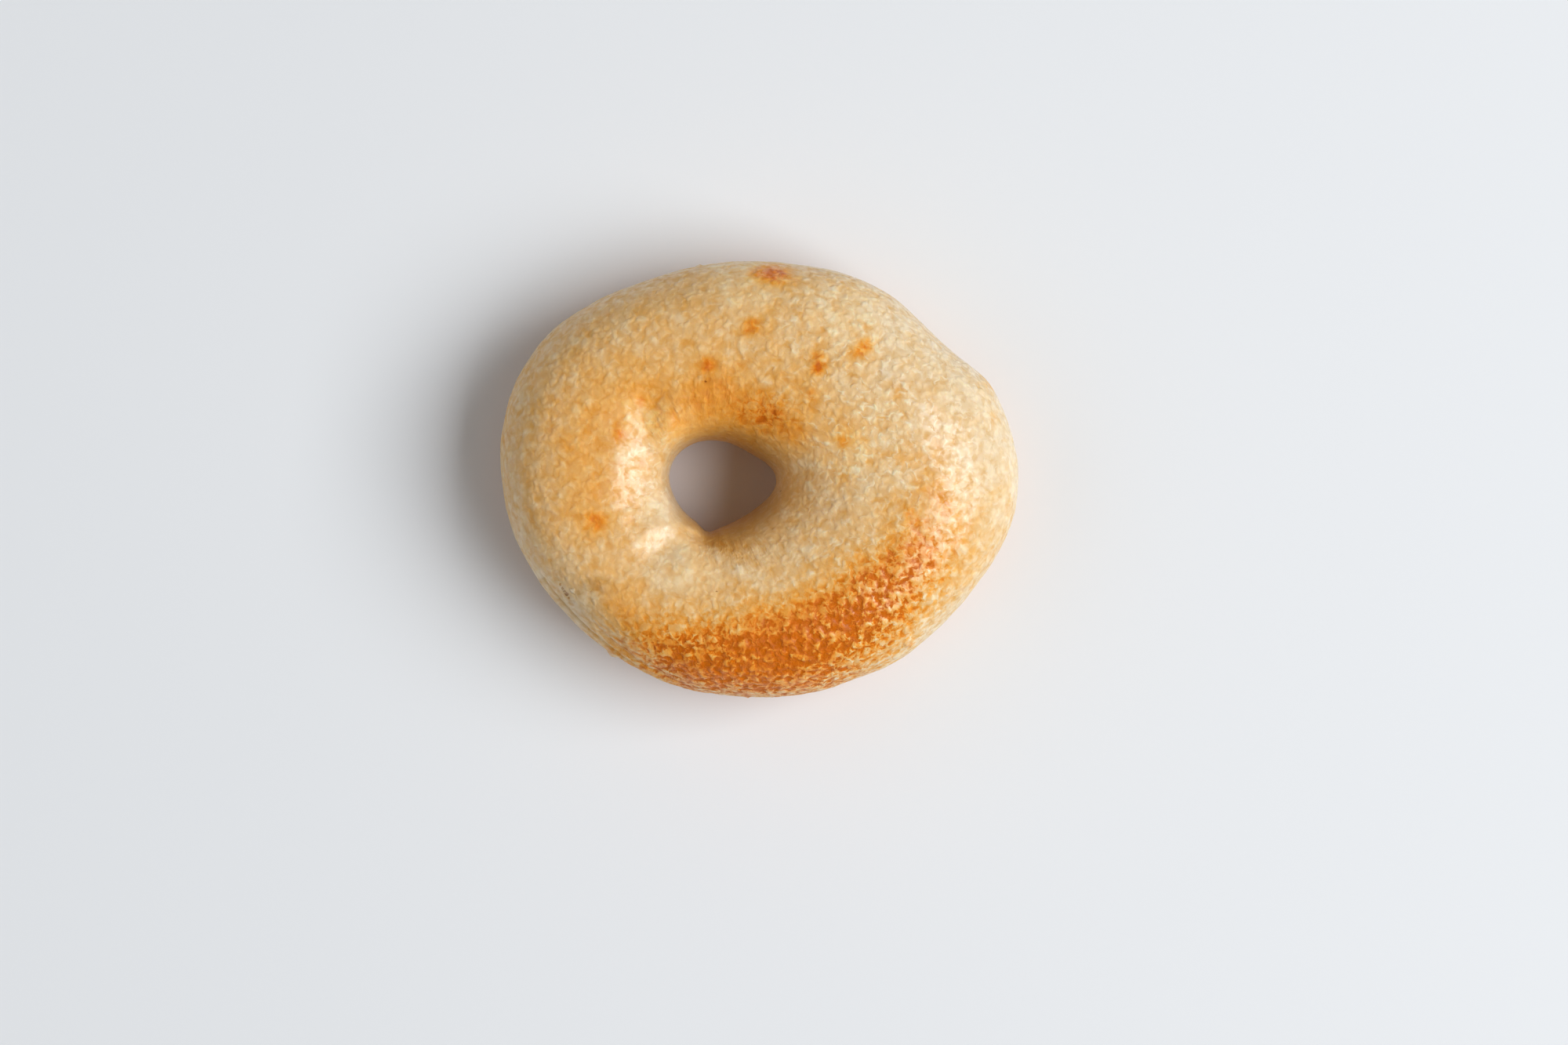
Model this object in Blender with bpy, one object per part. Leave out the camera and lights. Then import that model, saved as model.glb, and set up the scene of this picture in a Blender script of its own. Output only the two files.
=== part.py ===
"""A plain bagel, whole and uncut: one ring of baked dough, fatter on one side, lying on its flat base.

The origin is the middle of the footprint, on the table. +X points to the fat side and +Z up.
"""

import math
from typing import NamedTuple

import bmesh
import bpy
from mathutils import Vector

MM = 0.001


class Swell(NamedTuple):
    """A stretch of wall that stands out (height above 0) or lies in (below 0), fading on both sides."""

    bearing: float  # degrees round from +X, anticlockwise from above
    height: float  # metres
    spread: float  # degrees from its middle to where little of it is left


# Driving dimensions, in metres.
LENGTH = 110 * MM  # along X, the widest way across
WIDTH = 93 * MM  # along Y
HOLE_RADIUS = 9.1 * MM  # at its narrowest level, before the corners are pulled out of it
HOLE_CENTRE = Vector((-7.9 * MM, -1.7 * MM))  # the hole lies towards the thin side
THIN_CROWN = 34.5 * MM  # height of the crest over the thin side
FAT_CROWN = 37.5 * MM  # height of the crest over the fat side
FAT_BEARING = -8.0  # degrees

# The rim is an oval with the flats and bulges that shaping and boiling left.
RIM_SWELLS = (
    Swell(149, 2.4 * MM, 22),
    Swell(80, -0.4 * MM, 14),
    Swell(37, -3.0 * MM, 16),
    Swell(23, 0.7 * MM, 6),
    Swell(356, 0.3 * MM, 14),
    Swell(328, -1.6 * MM, 18),
    Swell(296, -0.5 * MM, 9),
    Swell(213, -2.0 * MM, 26),
    Swell(182, -0.4 * MM, 9),
)
# The hole is pulled into three corners: one round, one long and low, and a sharp one with a crease.
HOLE_SWELLS = (
    Swell(8, 2.7 * MM, 26),
    Swell(150, 2.6 * MM, 50),
    Swell(252, 1.1 * MM, 12),
    Swell(302, -1.1 * MM, 36),
)

# The cross-section is two superellipse halves, one above the fattest girth and one below it.
WIDEST_LEVEL = 0.43  # level of the fattest girth, as a share of the crest height
OUTER_POWER = 2.4  # from the crest to the rim: 2 is an ellipse, and more is squarer
TIGHT_POWER = 3.4  # from the crest into the hole on the thin side, where the wall turns in sharply
OPEN_POWER = 2.2  # and on the fat side, where it slopes gently
LOWER_POWER = 2.4
BASE_LAP = 70.0  # degrees below the girth where the lower half meets the table, flattened by baking

TURN_STEPS = 96  # sections round the ring
GIRTH_STEPS = 36  # points round each section


def swell_at(bearing, swells):
    """Sum of the swells at this bearing, in metres."""
    total = 0.0
    for swell in swells:
        away = (bearing - swell.bearing + 180) % 360 - 180
        total += swell.height * math.exp(-((away / swell.spread) ** 2))
    return total


def towards(bearing):
    """Unit vector in plan that points along a bearing in degrees."""
    turn = math.radians(bearing)
    return Vector((math.cos(turn), math.sin(turn)))


def oval_radius(bearing):
    """Distance from the middle of the rim's oval to its edge."""
    way = towards(bearing)
    return 1 / math.hypot(way.x / (LENGTH / 2), way.y / (WIDTH / 2))


def crown_height(bearing):
    """Height of the ring's crest, which rises smoothly from the thin side to the fat one."""
    share = (1 + math.cos(math.radians(bearing - FAT_BEARING))) / 2
    return THIN_CROWN + (FAT_CROWN - THIN_CROWN) * share


def inner_power(bearing):
    """Power of the section between the crest and the hole, which eases from the fat side to the thin one."""
    return OPEN_POWER + (TIGHT_POWER - OPEN_POWER) * (1 - math.cos(math.radians(bearing))) / 2


def section_power(lap, bearing):
    """Power of the section at this lap: the upper half has one towards the rim and one towards the hole."""
    if math.sin(lap) <= 0:
        return LOWER_POWER
    return OUTER_POWER if math.cos(lap) > 0 else inner_power(bearing)


def eased_power(value, power):
    """A sine or cosine bent from an ellipse's to a superellipse's, with its sign kept."""
    return math.copysign(abs(value) ** (2 / power), value)


def section(bearing):
    """Closed loop of points round the dough at one bearing: rim, crest, wall of the hole, base."""
    way = towards(bearing)
    rim = way * oval_radius(bearing)
    wall = HOLE_CENTRE + way * HOLE_RADIUS
    middle = (rim + wall) / 2
    half = (rim - wall) / 2
    rim_push = swell_at(bearing, RIM_SWELLS)
    wall_push = swell_at(bearing, HOLE_SWELLS)
    crown = crown_height(bearing)
    widest = crown * WIDEST_LEVEL
    base_rise = eased_power(math.sin(math.radians(BASE_LAP)), LOWER_POWER)
    points = []
    for step in range(GIRTH_STEPS):
        lap = 2 * math.pi * step / GIRTH_STEPS
        power = section_power(lap, bearing)
        reach = eased_power(math.cos(lap), power)
        rise = eased_power(math.sin(lap), power)
        # A swell is full at the fattest girth and gone at the crest.
        push = reach**2 * (rim_push if reach > 0 else wall_push)
        plan = middle + half * reach + way * push
        if rise > 0:
            level = widest + (crown - widest) * rise
        else:
            level = max(0.0, widest * (1 + rise / base_rise))
        points.append(Vector((plan.x, plan.y, level)))
    return points


def centred(loops):
    """The loops moved in plan so that the middle of their footprint is the origin."""
    xs = [point.x for loop in loops for point in loop]
    ys = [point.y for loop in loops for point in loop]
    shift = Vector(((min(xs) + max(xs)) / 2, (min(ys) + max(ys)) / 2, 0))
    return [[point - shift for point in loop] for loop in loops]


def ring_mesh(name, loops):
    """Closed mesh of quads between each section and the next one round."""
    bm = bmesh.new()
    rings = [[bm.verts.new(point) for point in loop] for loop in loops]
    for here, after in zip(rings, rings[1:] + rings[:1]):
        for low, high in zip(range(GIRTH_STEPS), [*range(1, GIRTH_STEPS), 0]):
            bm.faces.new((here[low], after[low], after[high], here[high]))
    bmesh.ops.triangulate(bm, faces=bm.faces)
    mesh = bpy.data.meshes.new(name)
    bm.to_mesh(mesh)
    bm.free()
    mesh.shade_smooth()
    return mesh


def crust_material():
    """Pale golden crust, shiny from the boiling."""
    material = bpy.data.materials.new("crust")
    material.use_nodes = True
    shader = material.node_tree.nodes["Principled BSDF"]
    shader.inputs["Base Color"].default_value = (0.68, 0.42, 0.17, 1)
    shader.inputs["Roughness"].default_value = 0.42
    shader.inputs["Metallic"].default_value = 0.0
    return material


def bagel():
    """The whole bagel, one solid."""
    loops = [section(360 * step / TURN_STEPS) for step in range(TURN_STEPS)]
    ring = bpy.data.objects.new("bagel", ring_mesh("bagel", centred(loops)))
    ring.data.materials.append(crust_material())
    bpy.context.scene.collection.objects.link(ring)
    return ring


def main():
    for old in list(bpy.data.objects):
        bpy.data.objects.remove(old)
    bagel()


main()
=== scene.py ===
"""The looks of a plain bagel: its boiled skin, soft dents and folds, and the crust that the oven browned.

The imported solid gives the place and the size. One skin replaces it: the same ring, finely meshed.
Lengths are in metres, apart from the marks on the dough and the skin's pattern, in millimetres.
"""

import logging
import math
from dataclasses import dataclass
from enum import Enum
from typing import Any, Sequence

import bpy
import numpy as np
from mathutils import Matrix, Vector

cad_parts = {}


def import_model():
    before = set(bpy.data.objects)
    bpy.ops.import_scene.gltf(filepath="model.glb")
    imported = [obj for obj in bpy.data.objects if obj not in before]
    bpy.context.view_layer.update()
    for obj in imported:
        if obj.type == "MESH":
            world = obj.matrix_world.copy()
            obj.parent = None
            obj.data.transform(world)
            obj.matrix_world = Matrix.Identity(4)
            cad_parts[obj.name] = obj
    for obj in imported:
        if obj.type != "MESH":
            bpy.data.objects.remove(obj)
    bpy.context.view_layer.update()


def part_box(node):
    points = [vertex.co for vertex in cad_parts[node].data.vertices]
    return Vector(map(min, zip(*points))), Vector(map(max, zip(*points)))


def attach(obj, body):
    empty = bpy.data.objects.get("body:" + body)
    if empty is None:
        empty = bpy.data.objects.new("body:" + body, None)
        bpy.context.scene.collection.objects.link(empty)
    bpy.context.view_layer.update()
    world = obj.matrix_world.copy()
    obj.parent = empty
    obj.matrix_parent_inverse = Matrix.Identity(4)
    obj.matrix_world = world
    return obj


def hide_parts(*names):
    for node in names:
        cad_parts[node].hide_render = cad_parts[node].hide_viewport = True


LOG = logging.getLogger("bagel")
MM = 0.001
BODY = "root"
NODE = "bagel"
SKIN = "bagel_skin"
MIDDLE = 0.5  # the value that noise swings about

Colour = tuple[float, float, float]
Span = tuple[float, float]  # from the value where a smooth step starts to the value where it ends
Socket = bpy.types.NodeSocket
Value = Any


class Place(Enum):
    """The coordinates that the skin's pattern is read in, each kept as an attribute, in millimetres."""

    DOUGH = "dough"  # where the point is
    STREAK = "streak"  # drawn together along a section, so that marks run from the hole to the rim
    BANDED = "banded"  # drawn together round the ring, so that marks run along the rim


class Trait(Enum):
    """What the skin is like at a point, each kept as an attribute."""

    TOAST = "toast"  # how brown it is: 0 is pale and 1 deeply toasted
    SPOT = "spot"  # how much a scorched blister browns it
    TORN = "torn"  # how flaky it is, from 0 to 1
    CRINKLE = "crinkle"  # how deep its relief is, about 1
    DRAWN = "drawn"  # how much it is drawn out in streaks
    STROKED = "stroked"  # how much thin raised wrinkles cross it, from 0 to 1
    LAYERED = "layered"  # how much it lies in layers along the rim
    FOLD = "fold"  # how far a fold stands out, in millimetres
    SHINE = "shine"  # how glossy it is
    LYING = "lying"  # 1 where it rests on the floor, falling to 0 just above


RELIEF_ONLY = (Trait.FOLD, Trait.LYING)  # what the material has no use for


class Mark(Enum):
    """The marks of the skin's pattern, each a number from 0 to 1."""

    BLISTER = "blister"  # 1 on the larger bubbles, of which only some show
    BUBBLE = "bubble"  # 0 in the net between the small bubbles, 1 on top of one
    RUMPLE = "rumple"  # height of the uneven skin
    VALLEY = "valley"  # 1 in its low places
    WRINKLE = "wrinkle"  # height of the streaks
    STROKE = "stroke"  # 1 along thin raised wrinkles
    LAYER = "layer"  # height of the layers
    FLAKE = "flake"  # height of the puffed and torn flakes
    MOTTLE = "mottle"  # soft patches of browner skin
    GLOSS = "gloss"  # small patches of glossier skin
    GRAIN = "grain"  # the finest roughness


# ---------------------------------------------------------------- node trees


class Graph:
    """Adds nodes and links to one shader or geometry tree."""

    def __init__(self, tree: bpy.types.NodeTree) -> None:
        """Take the tree to add to."""
        self.tree = tree

    def node(
        self, kind: str, inputs: dict[str | int, Value] | None = None, **settings: Value
    ) -> bpy.types.Node:
        """Add a node.

        Args:
            kind: Blender's name of the node type.
            inputs: What goes into each named or numbered socket, a value or another node's socket.
            settings: The node's own properties, set first, because they decide which sockets there are.

        Returns:
            The new node.
        """
        made = self.tree.nodes.new(kind)
        for name, value in settings.items():
            setattr(made, name, value)
        for name, value in (inputs or {}).items():
            self.feed(made.inputs[name], value)
        return made

    def feed(self, socket: Socket, value: Value) -> None:
        """Link a socket into another, or set its value.

        Args:
            socket: The socket that takes it.
            value: A value, or another node's socket.
        """
        if isinstance(value, bpy.types.NodeSocket):
            self.tree.links.new(value, socket)
        else:
            socket.default_value = value

    def math(self, operation: str, *values: Value, clamp: bool = False) -> Socket:
        """One step of arithmetic on numbers or sockets, whose result may be kept from 0 to 1."""
        inputs = dict(enumerate(values))
        return self.node("ShaderNodeMath", inputs, operation=operation, use_clamp=clamp).outputs[0]

    def less(self, one: Value, other: Value) -> Socket:
        """One number less another."""
        return self.math("SUBTRACT", one, other)

    def times(self, one: Value, other: Value) -> Socket:
        """One number times another."""
        return self.math("MULTIPLY", one, other)

    def times_plus(self, one: Value, other: Value, more: Value) -> Socket:
        """One number times another, plus a third."""
        return self.math("MULTIPLY_ADD", one, other, more)

    def vector(self, operation: str, *values: Value) -> bpy.types.Node:
        """One step of arithmetic on vectors; the node is returned, as its result may be a number."""
        return self.node("ShaderNodeVectorMath", dict(enumerate(values)), operation=operation)

    def scaled(self, vector: Socket, factor: Value) -> Socket:
        """A vector or colour times a number."""
        inputs = {"Vector": vector, "Scale": factor}
        return self.node("ShaderNodeVectorMath", inputs, operation="SCALE").outputs[0]

    def step(self, value: Socket, span: Span, low: Value = 0.0, high: Value = 1.0) -> Socket:
        """A smooth step from low, where the value is at the span's start, to high, at its end."""
        inputs = {"Value": value, "From Min": span[0], "From Max": span[1], "To Min": low, "To Max": high}
        return self.node("ShaderNodeMapRange", inputs, interpolation_type="SMOOTHSTEP").outputs[0]

    def colour_steps(self, value: Socket, steps: Sequence[tuple[float, Colour]]) -> Socket:
        """A colour ramp.

        Args:
            value: Where to read the ramp, from 0 to 1.
            steps: Position and colour of each stop.

        Returns:
            The socket with the colour.
        """
        node = self.node("ShaderNodeValToRGB", {"Fac": value})
        stops = node.color_ramp.elements
        ready = len(stops)
        for index, (place, colour) in enumerate(steps):
            stop = stops[index] if index < ready else stops.new(place)
            stop.position = place
            stop.color = (*colour, 1)
        return node.outputs["Color"]


@dataclass(frozen=True)
class Clouds:
    """Soft noise."""

    size: float  # of its features, in millimetres
    detail: float = 2.0  # how many finer layers are added
    rough: float = 0.5  # how strong each layer is beside the one before

    def node(self, graph: Graph, place: Socket) -> bpy.types.Node:
        """Add it to a tree, read at some coordinates."""
        inputs = {"Vector": place, "Scale": 1 / self.size, "Detail": self.detail, "Roughness": self.rough}
        return graph.node("ShaderNodeTexNoise", inputs, noise_dimensions="3D")

    def level(self, graph: Graph, place: Socket) -> Socket:
        """Its value, from 0 to 1."""
        return self.node(graph, place).outputs[0]


@dataclass(frozen=True)
class Cells:
    """Rounded cells, with a net between them."""

    size: float  # millimetres from one to the next
    edge: Span  # how far from its middle a cell starts, and where it is full, in sizes
    smooth: float  # how much they run together, 0 for not at all

    def node(self, graph: Graph, place: Socket) -> bpy.types.Node:
        """Add them to a tree.

        Args:
            graph: The tree.
            place: The socket of the coordinates.

        Returns:
            The node.
        """
        inputs = {"Vector": place, "Scale": 1 / self.size, "Randomness": 1.0}
        feature = "F1"
        if self.smooth:
            inputs["Smoothness"] = self.smooth
            feature = "SMOOTH_F1"
        return graph.node("ShaderNodeTexVoronoi", inputs, voronoi_dimensions="3D", feature=feature)

    def tops(self, graph: Graph, node: bpy.types.Node) -> Socket:
        """1 on top of a cell and 0 in the net."""
        return graph.step(node.outputs["Distance"], self.edge)


@dataclass(frozen=True)
class Drift:
    """Soft noise that pulls coordinates about, so that what is read there wanders."""

    far: float  # how far, in millimetres
    noise: Clouds

    def push(self, graph: Graph, place: Socket) -> Socket:
        """The noise as a vector, each part from 0 to 1."""
        return self.noise.node(graph, place).outputs["Color"]

    def pulled(self, graph: Graph, place: Socket) -> Socket:
        """The coordinates, pulled about evenly to all sides."""
        away = graph.vector("SUBTRACT", self.push(graph, place), (MIDDLE, MIDDLE, MIDDLE)).outputs[0]
        return graph.vector("ADD", place, graph.scaled(away, self.far)).outputs[0]


# ---------------------------------------------------------------- shape


def turned(angles: np.ndarray, start: float) -> np.ndarray:
    """Angles counted from a start, in degrees from -180 to 180."""
    return (angles - start + 180) % 360 - 180


@dataclass(frozen=True)
class Swell:
    """A stretch of wall that stands out or lies in, fading on both sides."""

    bearing: float  # degrees round from +X, anticlockwise from above
    height: float  # metres
    spread: float  # degrees

    def at(self, bearings: np.ndarray) -> np.ndarray:
        """How far the wall is pushed at each bearing, in metres."""
        return self.height * np.exp(-((turned(bearings, self.bearing) / self.spread) ** 2))


@dataclass(frozen=True)
class Fold:
    """A fold, nub or crumb on the rim, running round it for a way."""

    bearing: float  # degrees, to its middle
    spread: float  # degrees round the ring
    lap: float  # degrees up from the fattest girth
    wide: float  # degrees of lap
    rise: float  # degrees of lap that it climbs over its spread
    height: float  # millimetres, below 0 for a groove

    def at(self, bearings: np.ndarray, laps: np.ndarray) -> np.ndarray:
        """How far the skin is pushed out.

        Args:
            bearings: Degrees round from +X.
            laps: Degrees round the section from the rim.

        Returns:
            Millimetres, of the shape that the two make together.
        """
        along = turned(bearings, self.bearing) / self.spread
        across = (turned(laps, self.lap) - self.rise * along) / self.wide
        return self.height * np.exp(-(along**4) - across**2)


@dataclass(frozen=True)
class Patch:
    """A soft-edged oval on the dough, in plan and in millimetres, and how much of something is there."""

    x: float
    y: float
    long: float  # half its length
    wide: float  # half its width
    turn: float  # degrees from +X to its length
    amount: float  # in its middle

    def share(self, points: np.ndarray) -> np.ndarray:
        """How much each point lies in the oval.

        Args:
            points: Rows of x, y and perhaps z, in metres.

        Returns:
            1 in the middle, falling to 0.37 on the oval's edge and towards 0 outside.
        """
        way = math.radians(self.turn)
        right = points[:, 0] / MM - self.x
        up = points[:, 1] / MM - self.y
        along = right * math.cos(way) + up * math.sin(way)
        across = up * math.cos(way) - right * math.sin(way)
        return np.exp(-((along / self.long) ** 2) - (across / self.wide) ** 2)

    def at(self, points: np.ndarray) -> np.ndarray:
        """How much of it each point has."""
        return self.amount * self.share(points)

    def crisp(self, points: np.ndarray) -> np.ndarray:
        """The same with a flat middle and a crisper edge."""
        share = self.share(points)
        return self.amount * share * (2 - share) * (1 + share) / 2


def total(patches: Sequence[Patch], points: np.ndarray) -> np.ndarray:
    """What the patches come to at each point."""
    return sum(patch.at(points) for patch in patches)


def eased_power(value: np.ndarray, power: np.ndarray | float) -> np.ndarray:
    """A sine or cosine bent from an ellipse's to a superellipse's, with its sign kept."""
    return np.sign(value) * np.abs(value) ** (2 / power)


@dataclass(frozen=True)
class Ring:
    """The ring of dough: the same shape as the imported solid, meshed finely enough to carry its skin."""

    length: float = 110 * MM
    width: float = 93 * MM
    hole_radius: float = 9.1 * MM
    hole_centre: tuple[float, float] = (-7.9 * MM, -1.7 * MM)
    thin_crown: float = 34.5 * MM
    fat_crown: float = 37.5 * MM
    fat_bearing: float = -8.0
    rim_swells: tuple[Swell, ...] = (
        Swell(149, 2.4 * MM, 22),
        Swell(80, -0.4 * MM, 14),
        Swell(37, -3.0 * MM, 16),
        Swell(23, 0.7 * MM, 6),
        Swell(356, 0.3 * MM, 14),
        Swell(328, -1.6 * MM, 18),
        Swell(296, -0.5 * MM, 9),
        Swell(213, -2.0 * MM, 26),
        Swell(182, -0.4 * MM, 9),
    )
    hole_swells: tuple[Swell, ...] = (
        Swell(8, 2.7 * MM, 26),
        Swell(150, 2.6 * MM, 50),
        Swell(252, 1.1 * MM, 12),
        Swell(302, -1.1 * MM, 36),
    )
    crown_dents: tuple[Patch, ...] = (  # millimetres up, below 0 for a dimple
        Patch(-23.6, 0.5, 5.4, 13, 5, -1.6),
        Patch(-22, 14.5, 4, 4.5, 0, -1.1),
        Patch(-17.8, 0.5, 2.6, 10, 5, 2.2),
        Patch(-21, -10, 4, 1.8, 25, 0.4),
        Patch(-18, -14.2, 6, 3.4, 25, -1.7),
        Patch(-13.5, -10.6, 3, 0.9, -22, 0.9),
        Patch(-12.5, -12.6, 3, 0.9, -30, -0.9),
    )
    rim_folds: tuple[Fold, ...] = (
        # the folds along the lower left
        Fold(219, 16, 24, 2, -4, -0.8),
        Fold(218, 18, 14, 4.5, -3, 0.5),
        Fold(238, 14, 30, 2.2, -9, -0.45),
        Fold(236, 15, 25, 2.2, -8, 0.35),
        Fold(240, 14, 19, 2.2, -8, -0.40),
        Fold(242, 13, 12, 3, -6, 0.35),
        # the nub and the crumbs
        Fold(230.2, 1.4, 3, 9, 0, 0.9),
        Fold(221, 2.5, 2, 8, 0, 0.4),
        Fold(105.4, 0.7, 4, 3, 0, 0.3),
        Fold(267.2, 0.7, 2, 3, 0, 0.3),
    )
    widest_level: float = 0.43  # share of the crown's height
    outer_power: float = 2.4
    tight_power: float = 3.4  # on the hole's left, where the shoulder drops off sharply
    open_power: float = 2.2  # on its right, which opens like a funnel
    lower_power: float = 2.4
    base_lap: float = 70.0  # degrees below the rim, where the section meets the flat base
    turn_steps: int = 520  # sections round the ring
    top_steps: int = 136  # points over the upper half of a section
    low_steps: int = 54  # points under the lower half
    fine_steps: int = 4001  # points that the girth of a section is measured with
    mean_bearing: float = 90.0  # where the shoulder of the hole is midway between tight and open
    streak_turn: float = 40.0  # radius of the thin ring that streaks are read on, in millimetres
    streak_girth: float = 6.0  # radius of its section
    band_radius: float = 12.0  # radius of the tube that layers are read on
    band_height: float = 110.0  # its height, which is about the girth of a section

    def bearings(self) -> np.ndarray:
        """Where the sections are, in degrees round from +X."""
        return np.arange(self.turn_steps) * 360 / self.turn_steps

    def outline(self, laps: np.ndarray, bearings: np.ndarray) -> tuple[np.ndarray, np.ndarray]:
        """The section of the ring, before it is stretched to its width and height at a bearing.

        Args:
            laps: Angles round the section from the rim over the crest and back under, in radians.
            bearings: Degrees round from +X, of a shape that goes with laps.

        Returns:
            The reach outwards, from -1 at the hole to 1 at the rim, and the rise, from 1 at the crest
            down to 0 at the widest level and -1 on the flat base.
        """
        left = (1 - np.cos(np.radians(bearings))) / 2
        inner = self.open_power + (self.tight_power - self.open_power) * left
        upper = np.where(np.cos(laps) > 0, self.outer_power, inner)
        power = np.where(np.sin(laps) > 0, upper, self.lower_power)
        reach = eased_power(np.cos(laps), power)
        rise = eased_power(np.sin(laps), power)
        base_rise = eased_power(np.sin(np.radians(self.base_lap)), self.lower_power)
        return reach, np.where(rise > 0, rise, np.maximum(-1.0, rise / base_rise))

    def laps(self) -> tuple[np.ndarray, np.ndarray]:
        """Where the grid's lines run along a section, evenly spaced over each half of it.

        Returns:
            Their angles round the section, and how far along its girth each one is, from 0 to 1.
        """
        fine = np.linspace(0, 2 * math.pi, self.fine_steps)
        reach, rise = self.outline(fine, np.array(self.mean_bearing))
        crown = (self.thin_crown + self.fat_crown) / 2
        widest = crown * self.widest_level
        dough = (self.length + self.width) / 4 - self.hole_radius
        out = reach * dough / 2
        up = np.where(rise > 0, rise * (crown - widest), rise * widest)
        girth = np.concatenate([[0], np.cumsum(np.hypot(np.diff(out), np.diff(up)))])
        girth /= girth[-1]
        waist = girth[len(girth) // 2]
        top = np.linspace(0, waist, self.top_steps, endpoint=False)
        low = np.linspace(waist, 1, self.low_steps, endpoint=False)
        share = np.concatenate([top, low])
        return np.interp(share, girth, fine), share

    def points(self) -> np.ndarray:
        """Work out the grid.

        Returns:
            Its points, section by section, in metres.
        """
        reach, rise = self.outline(self.laps()[0][None], self.bearings()[:, None])
        plan = self.plan(reach)
        level = self.level(rise, plan)
        return np.concatenate([plan, level[..., None]], 2).reshape(-1, 3)

    def plan(self, reach: np.ndarray) -> np.ndarray:
        """Where the grid's points are in plan.

        Args:
            reach: How far outwards each point is, from -1 to 1, section by section.

        Returns:
            Their x and y, in metres.
        """
        bearings = self.bearings()
        way = np.stack([np.cos(np.radians(bearings)), np.sin(np.radians(bearings))], 1)
        oval = 1 / np.hypot(way[:, 0] / (self.length / 2), way[:, 1] / (self.width / 2))
        rim = way * oval[:, None]
        wall = np.array(self.hole_centre) + way * self.hole_radius
        rim_push = sum(swell.at(bearings) for swell in self.rim_swells)
        wall_push = sum(swell.at(bearings) for swell in self.hole_swells)
        push = reach**2 * np.where(reach > 0, rim_push[:, None], wall_push[:, None])
        middle = (rim + wall)[:, None] / 2
        half = (rim - wall)[:, None] / 2
        return middle + half * reach[..., None] + way[:, None] * push[..., None]

    def level(self, rise: np.ndarray, plan: np.ndarray) -> np.ndarray:
        """How high the grid's points are.

        Args:
            rise: From -1 on the base to 1 at the crest, section by section.
            plan: Their x and y, in metres.

        Returns:
            Their z, in metres.
        """
        fatness = (1 + np.cos(np.radians(self.bearings() - self.fat_bearing))) / 2
        crown = self.thin_crown + (self.fat_crown - self.thin_crown) * fatness
        widest = crown * self.widest_level
        dents = total(self.crown_dents, plan.reshape(-1, 2)).reshape(rise.shape) * MM
        above = np.where(rise > 0, (crown - widest)[:, None] + dents, widest[:, None])
        return widest[:, None] + above * rise

    def folds(self) -> np.ndarray:
        """How far the folds along the rim stand out at each point, in millimetres."""
        laps = np.degrees(self.laps()[0])[None]
        return sum(fold.at(self.bearings()[:, None], laps) for fold in self.rim_folds).reshape(-1)

    def streaks(self) -> np.ndarray:
        """Lay the skin on a ring so thin that a pattern there is drawn out across it.

        Returns:
            Each point's place on that ring, in millimetres.
        """
        laps = 2 * math.pi * self.laps()[1]
        out = self.streak_turn + self.streak_girth * np.cos(laps)
        return self.wound(out, self.streak_girth * np.sin(laps))

    def bands(self) -> np.ndarray:
        """Lay the skin on a tube so narrow that a pattern there is drawn out round it.

        Returns:
            Each point's place on that tube, in millimetres. The tube's ends meet in the hole.
        """
        above_rim = (self.laps()[1] + 1 / 2) % 1 - 1 / 2
        out = np.full(above_rim.shape, self.band_radius)
        return self.wound(out, above_rim * self.band_height)

    def wound(self, out: np.ndarray, up: np.ndarray) -> np.ndarray:
        """One section turned about the upright axis.

        Args:
            out: How far from the axis its points are.
            up: How high they are.

        Returns:
            Points in the same order as the grid's.
        """
        turn = np.radians(self.bearings())
        across = np.outer(np.cos(turn), out)
        along = np.outer(np.sin(turn), out)
        return np.stack([across, along, np.broadcast_to(up, across.shape)], 2).reshape(-1, 3)

    def faces(self) -> np.ndarray:
        """Join the grid's points.

        Returns:
            Quads that face outwards, as four numbers of points each.
        """
        girth = self.top_steps + self.low_steps
        here = np.arange(self.turn_steps)[:, None] * girth
        after = (np.arange(self.turn_steps)[:, None] + 1) % self.turn_steps * girth
        low = np.arange(girth)[None]
        high = (low + 1) % girth
        return np.stack([here + low, after + low, after + high, here + high], 2).reshape(-1, 4)


def fitted(place: np.ndarray, low: Vector, high: Vector) -> np.ndarray:
    """Points moved and stretched so that they just fill a box.

    Args:
        place: The points.
        low: The box's lowest corner.
        high: The box's highest corner.

    Returns:
        The points in their new places.
    """
    least, most = place.min(0), place.max(0)
    share = (place - least) / (most - least)
    return np.array(low) + share * (np.array(high) - np.array(low))


# ---------------------------------------------------------------- what the skin is like


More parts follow.
